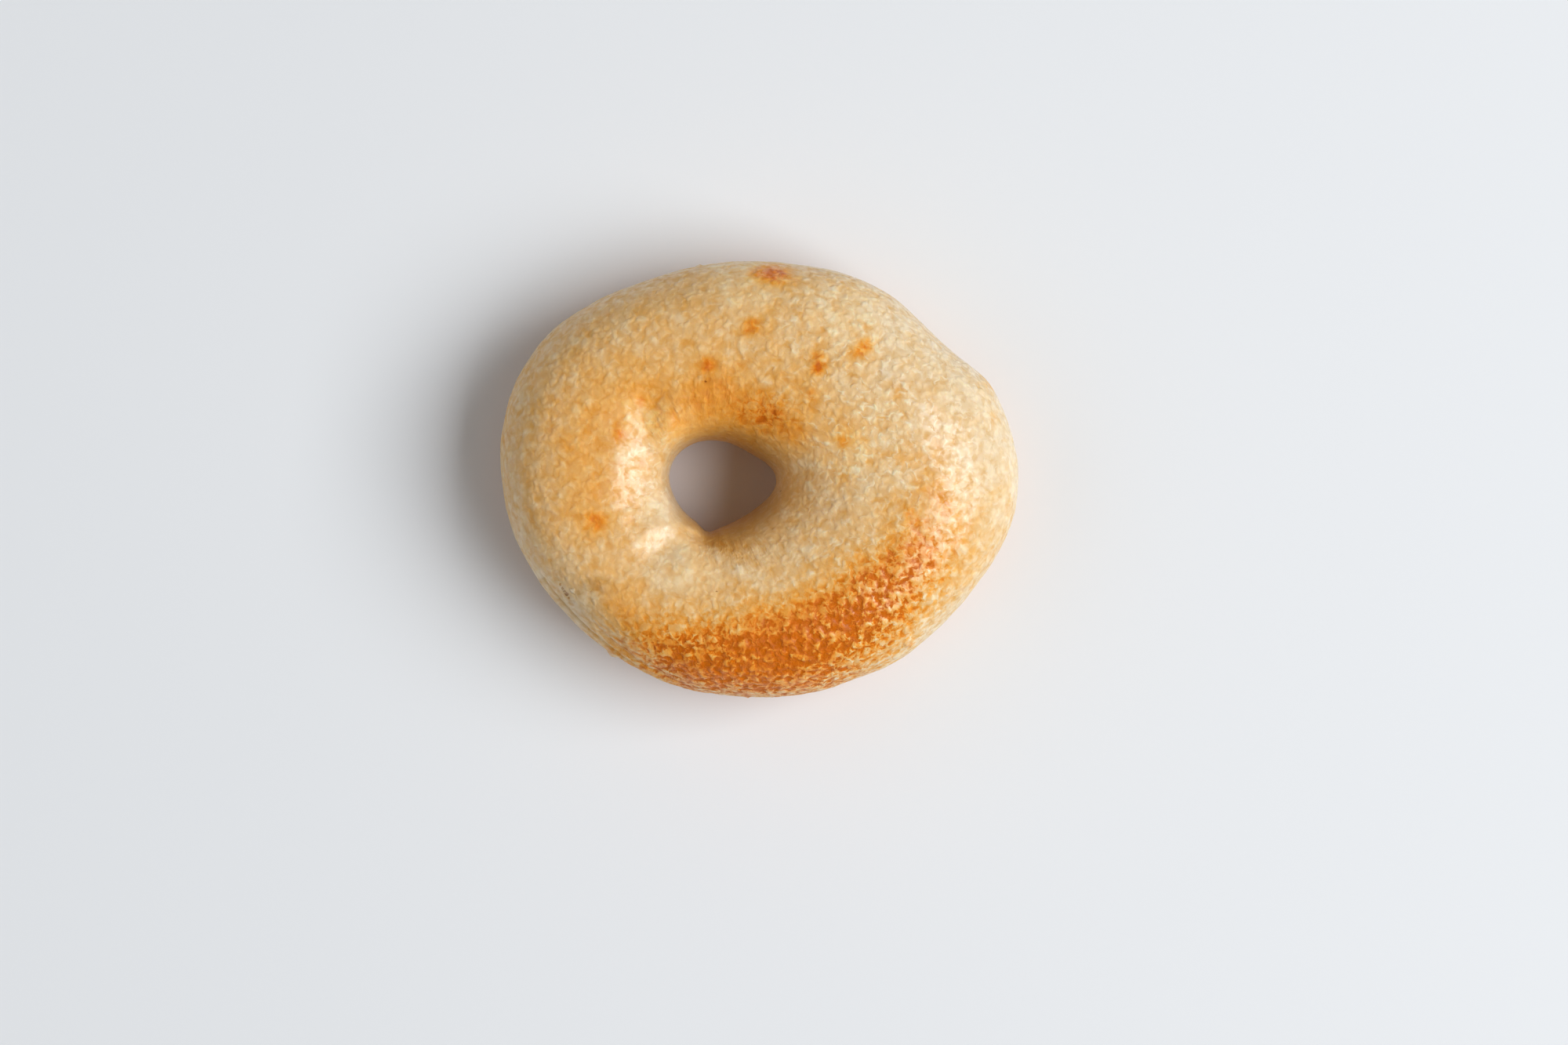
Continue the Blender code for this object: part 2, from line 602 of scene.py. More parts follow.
@dataclass(frozen=True)
class Toasting:
    """How brown and how flaky the oven made the crust."""

    plain: float = 0.30  # how brown it is away from every patch
    base: float = 0.70  # where it lay on the hot tray
    base_top: float = 3.0  # millimetres up to where the tray's browning starts to fade
    side_low: float = 13.0  # and to where it is gone
    patches: tuple[Patch, ...] = (
        # the pale, soft sides, and paler places beside the hole
        Patch(42, 8, 20, 26, 80, -0.30),
        Patch(30, 34, 20, 12, -30, -0.14),
        Patch(-40, -28, 24, 9, -45, -0.10),
        Patch(3, -17, 15, 7, 5, -0.09),
        Patch(-17, -19, 9, 6, 0, -0.11),
        # paler down the left lip of the hole: partly its own tone, partly painted light
        Patch(-19, -4, 4, 12, 0, -0.14),
        Patch(-16, 10.5, 7, 3, 40, -0.03),
        # the next two are paler where the glossy patches beside the hole start and meet: partly painted
        # highlight
        Patch(-25, 13, 4, 4, 0, -0.08),
        Patch(-21.5, -6.5, 5, 3.5, 0, -0.22),
        Patch(38, -34, 16, 7, 35, -0.30),
        # golden round the hole and beyond it
        Patch(-4, 15, 19, 8.5, -5, 0.23),
        Patch(-19, 17, 7, 5, 20, 0.04),
        Patch(1.5, 13, 6.5, 4, -10, 0.25),
        Patch(-10, 18, 6, 4, 60, 0.18),
        Patch(9, 9, 6, 3, 0, 0.12),
        Patch(-4, -14.5, 6.5, 3, -10, 0.08),
        Patch(-36, 4, 8, 17, 0, 0.18),
        Patch(-25, 18, 9, 7, 0, 0.10),
        Patch(22, 18, 14, 14, 0, 0.03),
        # the toasted shoulder
        Patch(-19, -37, 11, 5.5, -20, 0.40),
        Patch(-4, -38, 12, 7, 0, 0.50),
        Patch(8, -34, 12, 8, 15, 0.50),
        Patch(22, -26, 13, 8, 40, 0.52),
        Patch(31, -15, 9, 7, 60, 0.12),
        Patch(-2, -30, 16, 4, 5, 0.10),
        Patch(3, -43, 26, 4, 0, 0.22),
        Patch(28, -33, 8, 5, 45, 0.12),
        Patch(-28, -28, 7, 6, -45, 0.15),
        Patch(36, -1, 9, 16, 10, 0.28),
        Patch(30, -38, 12, 4, 35, 0.06),
        # the wall of the hole
        Patch(-7.9, -1.7, 7, 7, 0, 0.7),
    )
    blisters: tuple[Patch, ...] = (
        Patch(2.8, 42.8, 3.6, 2, -8, 0.95),
        Patch(-1.7, 31.4, 2, 1.8, 40, 0.56),
        Patch(-10.8, 23.5, 1.3, 1.6, 20, 0.54),
        Patch(12.6, 24.1, 1.5, 2.2, 10, 0.66),
        Patch(12, 22.4, 1.4, 1, 0, 0.34),
        Patch(21.5, 27, 2.3, 1.5, 35, 0.72),
        Patch(10.8, 17.4, 1, 1, 0, 0.32),
        Patch(-29.2, 9.3, 1.1, 1.6, 10, 0.41),
        Patch(-34.2, -9.2, 2.6, 2.2, 0, 0.44),
        Patch(17.4, 7.8, 1.2, 1.2, 0, 0.41),
        Patch(-24.4, 16, 1.1, 1.2, 0, 0.24),
        Patch(31.5, -7.5, 1.2, 1.6, 0, 0.34),
        Patch(28.5, 17.5, 2.4, 1.8, 0, 0.24),
        Patch(48.5, 20, 2, 1.8, -50, 0.30),
        Patch(49.5, 12.5, 1.2, 1.8, 0, 0.27),
    )
    flaky: tuple[Patch, ...] = (
        Patch(-16, -37.8, 13, 7.2, -15, 0.8),
        Patch(4, -39, 19, 11, 5, 1),
        Patch(25, -26, 15.5, 9.2, 40, 1),
        Patch(36, -10, 12, 8, 70, 0.15),
        Patch(1, 14, 7, 4, -5, 0.5),
    )

    def toast(self, points: np.ndarray) -> np.ndarray:
        """How brown each point is."""
        above = self.plain + total(self.patches, points)
        return self.base + (above - self.base) * self.clear(points)

    def clear(self, points: np.ndarray) -> np.ndarray:
        """1 on the upper part of the crust and 0 where it lay on the tray."""
        return np.clip((points[:, 2] / MM - self.base_top) / (self.side_low - self.base_top), 0, 1)

    def spot(self, points: np.ndarray) -> np.ndarray:
        """How much the scorched blisters brown each point, with crisper edges than a patch's."""
        return sum(blister.crisp(points) for blister in self.blisters) * self.clear(points)

    def torn(self, points: np.ndarray) -> np.ndarray:
        """How flaky the skin is at each point, where the toasted skin puffed and tore."""
        return np.minimum(1.0, total(self.flaky, points)) * self.clear(points)


@dataclass(frozen=True)
class Shine:
    """How glossy the boiled skin is: 0 is dull and 1 as if varnished."""

    plain: float = 0.9
    patches: tuple[Patch, ...] = (
        Patch(-23, 0, 7, 16, 0, 0.9),
        Patch(-19, -11, 6, 5, 30, 0.6),
        Patch(-25, 19, 6, 4.5, 0, -0.8),
        Patch(36, 1, 9, 12, 10, 0.35),
    )

    def at(self, points: np.ndarray) -> np.ndarray:
        """How glossy each point is."""
        return self.plain + total(self.patches, points)


@dataclass(frozen=True)
class Wrinkling:
    """Where the skin's relief is deep, streaky, crossed by thin wrinkles or in layers."""

    even: float = 0.85  # how deep the relief is away from every patch
    least: float = 0.15
    crinkled: tuple[Patch, ...] = (
        Patch(35, 5, 22, 35, 0, 0.25),
        Patch(15, 28, 14, 10, 30, 0.25),
        Patch(-14, -16, 9, 7, 0, -0.15),
        Patch(-23, 0, 5, 14, 0, 0.20),
        Patch(-10, 12, 12, 4, 15, -0.25),
        Patch(-7.5, -1.5, 9.5, 8, 0, -2.2),
    )
    streaky: tuple[Patch, ...] = (
        Patch(-14, 15, 13, 6, 35, 1),
        Patch(-24, -1, 5, 13, 0, 0.5),
        Patch(4, 14, 12, 6, -10, 0.4),
        Patch(-4, -15.5, 9, 4, -10, 1.7),
        Patch(9, -8, 8, 5, 60, 0.5),
        Patch(17, 25, 8, 6, 60, 0.7),
        Patch(-7.5, -1.5, 9.5, 8, 0, -2.2),
    )
    few: float = 0.2  # how much thin wrinkles cross the skin away from every patch
    strokes: tuple[Patch, ...] = (
        Patch(28, 14, 22, 20, 0, 1),
        Patch(14, -30, 26, 12, 30, 1),
        Patch(-24, 0, 7, 15, 0, 0.7),
    )
    layers: tuple[Patch, ...] = (
        Patch(-2, -45, 20, 5, 2, 0.8),
        Patch(-26, -37, 14, 4, -37, 0.8),
        Patch(22, -40, 10, 4, 25, 0.5),
    )

    def crinkle(self, points: np.ndarray) -> np.ndarray:
        """How deep the skin's relief is at each point."""
        return np.maximum(self.least, self.even + total(self.crinkled, points))

    def drawn(self, points: np.ndarray) -> np.ndarray:
        """How much the skin is drawn out in streaks at each point."""
        return np.maximum(0.0, total(self.streaky, points))

    def stroked(self, points: np.ndarray) -> np.ndarray:
        """How much thin raised wrinkles cross the skin at each point."""
        return np.minimum(1.0, self.few + total(self.strokes, points))

    def layered(self, points: np.ndarray) -> np.ndarray:
        """How much the skin lies in layers along the rim at each point."""
        return total(self.layers, points)


# ---------------------------------------------------------------- skin pattern


@dataclass(frozen=True)
class SkinPattern:
    """The pattern of a boiled and baked skin: the relief and the colours both follow it."""

    wander: Drift = Drift(1.6, Clouds(2.2, 1.0))
    blister: Cells = Cells(2.7, (0.62, 0.22), 0.25)  # large pale bubbles just under the skin
    shown: Span = (0.35, 0.75)  # a blister's own random number, where it is hidden and where it shows
    bubble: Cells = Cells(1.45, (0.66, 0.16), 0.5)
    rumple: Clouds = Clouds(2.1, 3.0)
    valley: Span = (0.52, 0.30)  # how high the rumpled skin is where a low place starts and is deep
    wrinkle: Clouds = Clouds(1.9)
    wrinkle_wander: float = 3.0  # how far the streaks are pulled about, in millimetres
    tear: Drift = Drift(0.8, Clouds(0.8, 1.0))  # how ragged the flakes are
    plate: Cells = Cells(1.5, (0.80, 0.20), 0.0)
    plate_part: float = 0.3  # how much of a flake is lost between the plates
    puff: Clouds = Clouds(1.4, 3.0, 0.58)
    puffed: Span = (0.36, 0.60)  # the noise where a flake starts and where it is full
    stroke: Clouds = Clouds(2.8, 1.0, 0.4)
    stroke_edge: Span = (0.075, 0.0)  # how far the noise is from its middle on a stroke's edge and crest
    stroke_ends: Span = (0.46, 0.60)  # how glossy the skin is where a stroke ends and where it is full
    layer: Clouds = Clouds(1.1)
    mottle: Clouds = Clouds(5.0, 3.0)
    gloss: Clouds = Clouds(1.7, 4.0, 0.6)
    grain: Clouds = Clouds(0.5)

    def marks(self, graph: Graph, places: dict[Place, Socket]) -> dict[Mark, Socket]:
        """Add the pattern to a tree.

        Args:
            graph: The tree, of shader or geometry nodes.
            places: The socket of each of the skin's coordinates.

        Returns:
            The socket of each mark.
        """
        dough = places[Place.DOUGH]
        bent = self.wander.pulled(graph, dough)
        rumple = self.rumple.level(graph, bent)
        gloss = self.gloss.level(graph, bent)
        return {
            Mark.BLISTER: self.blisters(graph, bent),
            Mark.BUBBLE: self.bubble.tops(graph, self.bubble.node(graph, bent)),
            Mark.RUMPLE: rumple,
            Mark.VALLEY: graph.step(rumple, self.valley),
            Mark.WRINKLE: self.wrinkles(graph, dough, places[Place.STREAK]),
            Mark.STROKE: self.strokes(graph, bent, gloss),
            Mark.LAYER: self.layer.level(graph, places[Place.BANDED]),
            Mark.FLAKE: self.flakes(graph, bent),
            Mark.MOTTLE: self.mottle.level(graph, dough),
            Mark.GLOSS: gloss,
            Mark.GRAIN: self.grain.level(graph, dough),
        }

    def blisters(self, graph: Graph, bent: Socket) -> Socket:
        """The larger bubbles, each shown or hidden by its cell's random colour.

        Args:
            graph: The tree.
            bent: The dough coordinates, pulled about.

        Returns:
            The socket of the mark.
        """
        cells = self.blister.node(graph, bent)
        chance = graph.node("ShaderNodeSeparateXYZ", {"Vector": cells.outputs["Color"]}).outputs[0]
        return graph.times(self.blister.tops(graph, cells), graph.step(chance, self.shown))

    def wrinkles(self, graph: Graph, dough: Socket, streak: Socket) -> Socket:
        """The streaks of skin that was drawn out over the hole's shoulder."""
        push = graph.scaled(self.wander.push(graph, dough), self.wrinkle_wander)
        return self.wrinkle.level(graph, graph.vector("ADD", streak, push).outputs[0])

    def strokes(self, graph: Graph, bent: Socket, gloss: Socket) -> Socket:
        """Thin raised wrinkles on the glossier skin, along the lines where a soft noise passes its middle."""
        away = graph.math("ABSOLUTE", graph.less(self.stroke.level(graph, bent), MIDDLE))
        return graph.times(graph.step(away, self.stroke_edge), graph.step(gloss, self.stroke_ends))

    def flakes(self, graph: Graph, bent: Socket) -> Socket:
        """The puffed skin, torn into ragged plates.

        Args:
            graph: The tree.
            bent: The dough coordinates, pulled about.

        Returns:
            The socket of the mark.
        """
        ragged = self.tear.pulled(graph, bent)
        plates = self.plate.tops(graph, self.plate.node(graph, ragged))
        puffs = graph.step(self.puff.level(graph, ragged), self.puffed)
        return graph.times(graph.times_plus(plates, self.plate_part, 1 - self.plate_part), puffs)


# ---------------------------------------------------------------- relief


@dataclass(frozen=True)
class SkinRelief:
    """Raises the skin's lumps, its rumpled skin, its flakes and its folds on the ring with Geometry Nodes."""

    pattern: SkinPattern
    lump: Clouds = Clouds(9.0, 3.0, 0.45)
    lump_height: float = 0.7 * MM
    skin_height: float = 0.16 * MM
    flake_height: float = 0.28 * MM

    def sizes(self) -> dict[str, float]:
        """The value of each named input."""
        return {
            "Lump Height": self.lump_height,
            "Skin Height": self.skin_height,
            "Flake Height": self.flake_height,
        }

    def tree(self, material: bpy.types.Material) -> bpy.types.NodeTree:
        """The tree, with named inputs for its sizes.

        Args:
            material: What the finished skin is made of.

        Returns:
            A geometry node tree.
        """
        tree = bpy.data.node_groups.new("skin_relief", "GeometryNodeTree")
        face = tree.interface
        face.new_socket("Geometry", in_out="INPUT", socket_type="NodeSocketGeometry")
        for name in self.sizes():
            face.new_socket(name, in_out="INPUT", socket_type="NodeSocketFloat")
        face.new_socket("Geometry", in_out="OUTPUT", socket_type="NodeSocketGeometry")
        graph = Graph(tree)
        start = graph.node("NodeGroupInput")
        normal = graph.node("GeometryNodeInputNormal").outputs[0]
        offset = graph.scaled(normal, self.height(graph, start))
        inputs = {"Geometry": start.outputs["Geometry"], "Offset": offset}
        moved = graph.node("GeometryNodeSetPosition", inputs)
        real = graph.node("GeometryNodeRealizeInstances", {"Geometry": moved.outputs[0]})
        dressed = graph.node("GeometryNodeSetMaterial", {"Geometry": real.outputs[0], "Material": material})
        graph.node("NodeGroupOutput", {"Geometry": dressed.outputs[0]})
        return tree

    def height(self, graph: Graph, start: bpy.types.Node) -> Socket:
        """How far the skin stands out, in metres.

        Args:
            graph: The tree.
            start: Its group input, with the sizes.

        Returns:
            The socket with the height, which is 0 where the bagel rests on the floor.
        """
        places = {place: self.read(graph, place) for place in Place}
        marks = self.pattern.marks(graph, places)
        lump = graph.less(self.lump.level(graph, places[Place.DOUGH]), MIDDLE)
        skin = graph.times(marks[Mark.RUMPLE], self.read(graph, Trait.CRINKLE))
        flake = graph.times(marks[Mark.FLAKE], self.read(graph, Trait.TORN))
        height = graph.times(lump, start.outputs["Lump Height"])
        height = graph.times_plus(skin, start.outputs["Skin Height"], height)
        height = graph.times_plus(flake, start.outputs["Flake Height"], height)
        height = graph.times_plus(self.read(graph, Trait.FOLD), MM, height)
        return graph.times(height, graph.less(1.0, self.read(graph, Trait.LYING)))

    @staticmethod
    def read(graph: Graph, name: Place | Trait) -> Socket:
        """The socket of one of the skin's attributes."""
        kind = "FLOAT_VECTOR" if isinstance(name, Place) else "FLOAT"
        inputs = {"Name": name.value}
        return graph.node("GeometryNodeInputNamedAttribute", inputs, data_type=kind).outputs["Attribute"]


def applied(piece: bpy.types.Object, tree: bpy.types.NodeTree, sizes: dict[str, float]) -> bpy.types.Mesh:
    """Run a geometry tree on a piece and keep the result as a plain mesh.

    Args:
        piece: The object; its modifier is removed again.
        tree: The tree.
        sizes: The value of each named input.

    Returns:
        The new mesh.
    """
    modifier = piece.modifiers.new(tree.name, "NODES")
    modifier.node_group = tree
    for item in tree.interface.items_tree:
        if item.name in sizes:
            modifier[item.identifier] = sizes[item.name]
    bpy.context.view_layer.update()
    graph = bpy.context.evaluated_depsgraph_get()
    mesh = bpy.data.meshes.new_from_object(
        piece.evaluated_get(graph), preserve_all_data_layers=True, depsgraph=graph
    )
    piece.modifiers.remove(modifier)
    return mesh


# ---------------------------------------------------------------- finishes


@dataclass(frozen=True)
class Effect:
    """What a mark of the pattern adds to the crust's browning, brightness or height."""

    mark: Mark
    usual: float  # the mark's value where it adds nothing
    change: float  # what it adds for each 1 above that
    trait: Trait  # what that is multiplied by


@dataclass(frozen=True)
class Speck:
    """A small mark in the crust, or a soft darker or brighter area, some of them painted shade or highlight,
    in plan and in millimetres.
    """

    x: float
    y: float
    radius: float
    heat: float  # how much browner it is than the crust round it
    char: float  # how much darker, below 0 for brighter
    rise: float = 0.0  # how far it stands out, below 0 for a pit


@dataclass(frozen=True)
class Specks:
    """The specks of the crust, placed one by one."""

    drift: Drift = Drift(0.8, Clouds(0.7, 1.0))  # makes the specks uneven
    edge: Span = (1.2, 0.5)  # where a speck starts and where it is full, in its radii
    fade: Span = (9.0, 5.0)  # how high up the specks start to fade, and where there is none
    out_of_reach: float = 20.0  # millimetres, further than any speck's edge
    dots: tuple[Speck, ...] = (
        Speck(-11, 20.1, 0.24, 0.2, 0.45, -0.08),
        Speck(-12, 20.9, 0.7, -0.15, 0, 0.06),
        Speck(4.6, -2.7, 0.2, 0.2, 0.4, -0.08),
        Speck(-8.7, -23.6, 0.24, 0.2, 0.4, -0.08),
        # a browned nub
        Speck(31.5, -34.5, 1.3, 0.22, -0.05, 0.25),
    )
    burst_bubble_and_painted_light: tuple[Speck, ...] = (
        # the hole that it left: browner, with painted shade in its pits
        Speck(-41.5, -22.3, 0.28, 0.3, 0.30, -0.10),
        Speck(-41.1, -23.1, 0.32, 0.3, 0.40, -0.15),
        Speck(-40.7, -23.7, 0.28, 0.3, 0.35, -0.15),
        Speck(-40.3, -24.3, 0.45, 0.4, 0.55, -0.25),
        Speck(-39.8, -25.1, 0.28, 0.3, 0.30, -0.10),
        # its lip, raised, with a painted glint on it, and the smudge beside it
        Speck(-38.9, -23.6, 0.6, -0.25, -0.12, 0.25),
        Speck(-37.9, -24, 0.6, 0.08, 0.14),
        Speck(-39.3, -26.2, 0.8, 0.12, 0.12, -0.10),
        Speck(-34.6, -22.2, 1.9, 0.12, 0.18),
        Speck(-32, -22.6, 2.4, 0.08, 0.12),
        Speck(-34.2, -24.6, 1.3, -0.14, -0.06, 0.10),
        # painted shade over the lower left flank, which slopes away from the light
        Speck(-38, -27, 7, 0, 0.09),
    )
    pale_bubbles: tuple[Speck, ...] = (
        Speck(-3.8, -19.1, 1.3, -0.12, -0.05, 0.08),
        Speck(0.4, -20.4, 1, -0.10, -0.05, 0.06),
        Speck(1.5, -14.7, 2, -0.06, -0.03),
        Speck(5.3, -7.7, 1.2, -0.10, -0.04, 0.06),
    )
    soft_areas_and_painted_light: tuple[Speck, ...] = (
        # darker
        Speck(1, 14, 7, 0, 0.06),
        Speck(-9, 17.5, 6.5, 0, 0.04),
        Speck(-28.7, -31.5, 5, 0, 0.07),
        # brighter
        Speck(25, 10, 9, 0, -0.05),
        Speck(18, 5, 7, 0.05, -0.09),
        Speck(19, 34, 10, -0.02, -0.08),
        Speck(-3, 43, 9, -0.05, -0.09),
        Speck(-19.4, 10.2, 5, 0.06, -0.09),
        # painted highlight where the glossy patch beside the hole starts
        Speck(-24.8, 13, 4.5, 0, -0.09),
        # painted light where the dimple below the hole's corner turns the skin from the light
        Speck(-14.5, -18, 7, 0, -0.08),
        # painted highlight between the two glossy patches beside the hole
        Speck(-21.5, -6, 4, 0, -0.08),
        # painted shade down the wall of the hole
        Speck(-6.3, -1.2, 13, 0, 0.50),
        # the crease where it is pinched: browner, and darker with painted shade in it
        Speck(-5.5, -15, 5.5, 0.02, 0.08),
        Speck(-9.6, -12.6, 2.2, 0.10, 0.14),
        Speck(-7.6, -14.4, 1.3, 0.10, 0.08),
        Speck(-5, -13.9, 1, 0.08, 0.06),
    )

    def masks(self, graph: Graph, dough: Socket) -> tuple[tuple[Speck, Socket], ...]:
        """Add them to a material.

        Args:
            graph: The material's tree.
            dough: The dough coordinates.

        Returns:
            Each speck, with the socket that is 1 on it and 0 away from it.
        """
        plan = self.plan(graph, dough)
        specks = self.dots + self.burst_bubble_and_painted_light + self.pale_bubbles + self.soft_areas_and_painted_light
        return tuple((speck, self.mask(graph, plan, speck)) for speck in specks)

    def plan(self, graph: Graph, dough: Socket) -> Socket:
        """Add the coordinates that specks are looked for in: flat, and out of their reach low down.

        Args:
            graph: The material's tree.
            dough: The dough coordinates.

        Returns:
            Their socket.
        """
        height = graph.node("ShaderNodeSeparateXYZ", {"Vector": dough}).outputs["Z"]
        away = graph.step(height, self.fade, 0.0, self.out_of_reach)
        lift = graph.node("ShaderNodeCombineXYZ", {"Z": away}).outputs[0]
        flat = graph.vector("MULTIPLY", self.drift.pulled(graph, dough), (1.0, 1.0, 0.0)).outputs[0]
        return graph.vector("ADD", flat, lift).outputs[0]

    def mask(self, graph: Graph, plan: Socket, speck: Speck) -> Socket:
        """The socket that is 1 on a speck and 0 away from it."""
        apart = graph.vector("DISTANCE", plan, (speck.x, speck.y, 0.0)).outputs["Value"]
        return graph.step(apart, (speck.radius * self.edge[0], speck.radius * self.edge[1]))


@dataclass(frozen=True)
class SkinSockets:
    """What the crust's material reads of the skin at a point."""

    graph: Graph
    marks: dict[Mark, Socket]
    traits: dict[Trait, Socket]
    specks: tuple[tuple[Speck, Socket], ...]  # each with the socket that is 1 on it

    def with_effects(self, start: Value, effects: Sequence[Effect]) -> Socket:
        """A number with the effects of marks added.

        Args:
            start: The number or its socket.
            effects: What is added.

        Returns:
            The socket with the sum.
        """
        result = start
        for effect in effects:
            swing = self.graph.less(self.marks[effect.mark], effect.usual)
            change = self.graph.times(swing, effect.change)
            result = self.graph.times_plus(change, self.traits[effect.trait], result)
        return result

    def with_specks(self, start: Value, amounts: Sequence[float]) -> Socket:
        """A number with the specks' own amounts added.

        Args:
            start: The number or its socket.
            amounts: What each speck adds in its middle, in the specks' order.

        Returns:
            The socket with the sum.
        """
        result = start
        for (_, mask), amount in zip(self.specks, amounts):
            if amount:
                result = self.graph.times_plus(mask, amount, result)
        return result


@dataclass(frozen=True)
class CrustFinish:
    """The skin's material."""

    pattern: SkinPattern
    specks: Specks = Specks()
    roughness: float = 0.6
    specular: float = 0.15
    softness: float = 0.45  # how much light goes through the skin
    soft_depth: float = 1.2 * MM
    soft_colour: Colour = (1.0, 0.85, 0.45)  # how far red, green and blue light goes, as shares of that
    coat_roughness: float = 0.31
    coat_ior: float = 1.66
    colours: tuple[tuple[float, Colour], ...] = (  # from pale dough to the deepest brown
        (0.00, (0.88, 0.70, 0.455)),
        (0.20, (0.865, 0.60, 0.30)),
        (0.40, (0.875, 0.485, 0.14)),
        (0.60, (0.88, 0.38, 0.048)),
        (0.80, (0.84, 0.267, 0.010)),
        (1.00, (0.70, 0.165, 0.00)),
    )
    spot_heat: float = 1.1  # how much of a blister's browning shows where it has no flake
    browning: tuple[Effect, ...] = (
        Effect(Mark.MOTTLE, 0.5, 0.46, Trait.CRINKLE),
        Effect(Mark.BLISTER, 0.2, -0.12, Trait.CRINKLE),
        Effect(Mark.BUBBLE, 0.6, -0.08, Trait.CRINKLE),
        Effect(Mark.VALLEY, 0.3, 0.13, Trait.CRINKLE),
        # paler along the crests of the streaks: partly painted highlight
        Effect(Mark.WRINKLE, 0.5, -0.28, Trait.DRAWN),
        # paler along the thin wrinkles: painted highlight
        Effect(Mark.STROKE, 0, -0.22, Trait.STROKED),
        Effect(Mark.LAYER, 0.5, -1.1, Trait.LAYERED),
        Effect(Mark.FLAKE, 0, -0.5, Trait.SPOT),
        Effect(Mark.FLAKE, 0.6, -0.9, Trait.TORN),
        Effect(Mark.GLOSS, 0.5, -0.9, Trait.TORN),
    )
    # Most marks make the crust lighter on the relief's high places and darker in its low ones: partly its own
    # tone, partly painted shade.
    brightness: tuple[Effect, ...] = (
        Effect(Mark.BUBBLE, 0.5, 0.10, Trait.CRINKLE),
        Effect(Mark.RUMPLE, 0.5, 0.30, Trait.CRINKLE),
        Effect(Mark.BLISTER, 0.2, 0.06, Trait.CRINKLE),
        # painted highlight along the crests of the streaks
        Effect(Mark.WRINKLE, 0.5, 0.25, Trait.DRAWN),
        # painted highlight along the thin wrinkles
        Effect(Mark.STROKE, 0, 0.13, Trait.STROKED),
        Effect(Mark.FLAKE, 0.5, 0.12, Trait.TORN),
        Effect(Mark.GLOSS, 0.5, 0.45, Trait.TORN),
    )
    heights: tuple[Effect, ...] = (  # in millimetres
        Effect(Mark.GRAIN, 0, 0.03, Trait.CRINKLE),
        Effect(Mark.BLISTER, 0, 0.06, Trait.CRINKLE),
        Effect(Mark.BUBBLE, 0, 0.12, Trait.CRINKLE),
        Effect(Mark.RUMPLE, 0, 0.27, Trait.CRINKLE),
        Effect(Mark.WRINKLE, 0, 0.30, Trait.DRAWN),
        Effect(Mark.STROKE, 0, 0.05, Trait.STROKED),
        Effect(Mark.LAYER, 0, 0.60, Trait.LAYERED),
        Effect(Mark.FLAKE, 0, 0.17, Trait.TORN),
    )
    gloss_edge: Span = (0.38, 0.60)  # the pattern's gloss where a glossy patch starts and where it is full
    gloss_mean: float = 0.55  # how glossy the skin is midway between the two
    gloss_swing: float = 0.45  # how much less or more it is on either side, times the crinkle
    stroke_gloss: float = 0.5  # how much glossier a stroke is
    flake_gloss: Span = (-0.15, 1.0)  # of torn skin, between the flakes and on them
    torn_grain: float = 0.16  # how much deeper the grain is on torn skin, times the crinkle

    def material(self) -> bpy.types.Material:
        """Build it.

        Returns:
            The material: soft bread under a glossy coat.
        """
        material = bpy.data.materials.new("crust")
        material.use_nodes = True
        graph = Graph(material.node_tree)
        shader = material.node_tree.nodes["Principled BSDF"]
        skin = self.sockets(graph)
        height = self.height(skin)
        bump = graph.node("ShaderNodeBump", {"Strength": 1.0, "Distance": MM, "Height": height})
        for name, value in self.constants().items():
            shader.inputs[name].default_value = value
        graph.feed(shader.inputs["Base Color"], self.colour(skin))
        graph.feed(shader.inputs["Coat Weight"], self.gloss(skin))
        graph.feed(shader.inputs["Normal"], bump.outputs[0])
        return material

    def constants(self) -> dict[str, Value]:
        """The shader's values that are the same all over the skin."""
        return {
            "Roughness": self.roughness,
            "Specular IOR Level": self.specular,
            "Subsurface Weight": self.softness,
            "Subsurface Radius": self.soft_colour,
            "Subsurface Scale": self.soft_depth,
            "Coat Roughness": self.coat_roughness,
            "Coat IOR": self.coat_ior,
        }

    def sockets(self, graph: Graph) -> SkinSockets:
        """Add the pattern, the attributes and the specks to the material.

        Args:
            graph: The material's tree.

        Returns:
            Their sockets.
        """
        places = {place: self.read(graph, place) for place in Place}
        traits = {trait: self.read(graph, trait) for trait in Trait if trait not in RELIEF_ONLY}
        masks = self.specks.masks(graph, places[Place.DOUGH])
        return SkinSockets(graph, self.pattern.marks(graph, places), traits, masks)

    @staticmethod
    def read(graph: Graph, name: Place | Trait) -> Socket:
        """The socket of one of the skin's attributes."""
        output = "Vector" if isinstance(name, Place) else "Fac"
        return graph.node("ShaderNodeAttribute", attribute_name=name.value).outputs[output]

    def brown(self, skin: SkinSockets) -> Socket:
        """How brown the crust is.

        Args:
            skin: What the material reads.

        Returns:
            The socket with the browning, 0 for pale dough and 1 for the deepest brown.
        """
        toasted = skin.graph.times_plus(skin.traits[Trait.SPOT], self.spot_heat, skin.traits[Trait.TOAST])
        heated = skin.with_specks(toasted, [speck.heat for speck, _ in skin.specks])
        return skin.with_effects(heated, self.browning)

    def colour(self, skin: SkinSockets) -> Socket:
        """The crust's colour: that of its browning, brighter or darker with the marks and specks, partly with
        painted shade and highlight.

        Args:
            skin: What the material reads.

        Returns:
            The socket with the colour.
        """
        graph = skin.graph
        bright = skin.with_effects(1.0, self.brightness)
        colour = graph.scaled(graph.colour_steps(self.brown(skin), self.colours), bright)
        for speck, mask in skin.specks:
            if speck.char:
                colour = graph.scaled(colour, graph.times_plus(mask, -speck.char, 1.0))
        return colour

